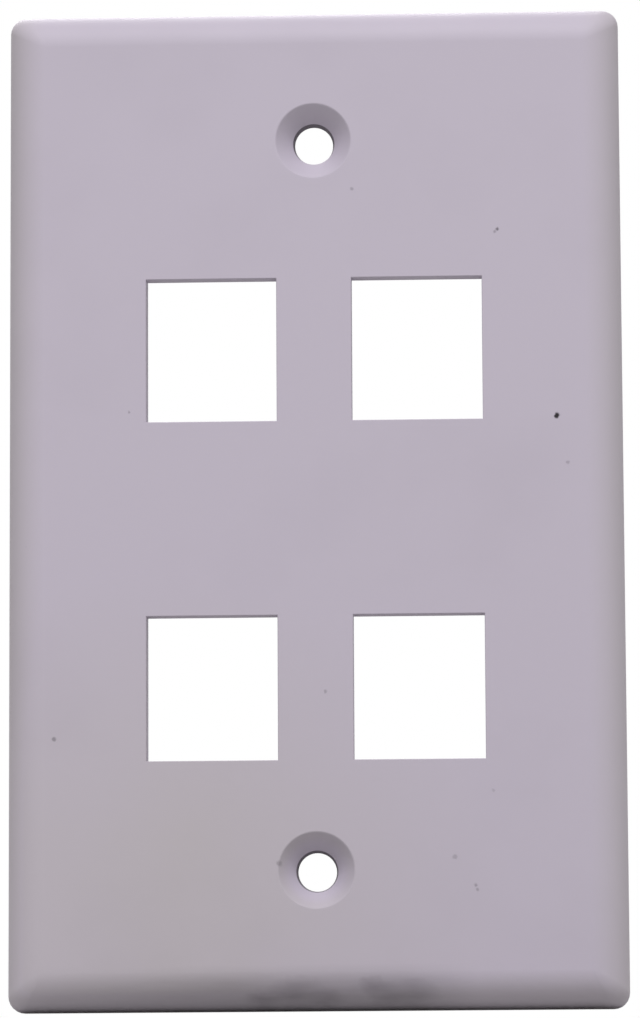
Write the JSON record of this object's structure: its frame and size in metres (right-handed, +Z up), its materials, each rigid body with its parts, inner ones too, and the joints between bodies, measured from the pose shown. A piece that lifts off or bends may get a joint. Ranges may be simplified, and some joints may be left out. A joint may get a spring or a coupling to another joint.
{
  "type": "keystone faceplate",
  "caption": "Single-gang wall plate, moulded in one piece, with keystone sockets that jacks snap into from behind and countersunk holes for its screws.",
  "frame": {"origin": "midway between the two screw holes, in the plane of the wall that the rim's rear face lies on", "axes": "front face looks along -Y, +Z is up as mounted, +X is to the right of someone facing the plate"},
  "size_m": [0.0698, 0.0098, 0.1142],
  "materials": {
    "plate_plastic": "satin moulded plastic, pale lilac grey"
  },
  "bodies": {
    "root": {"faceplate": "plate_plastic"}
  },
  "joints": []
}
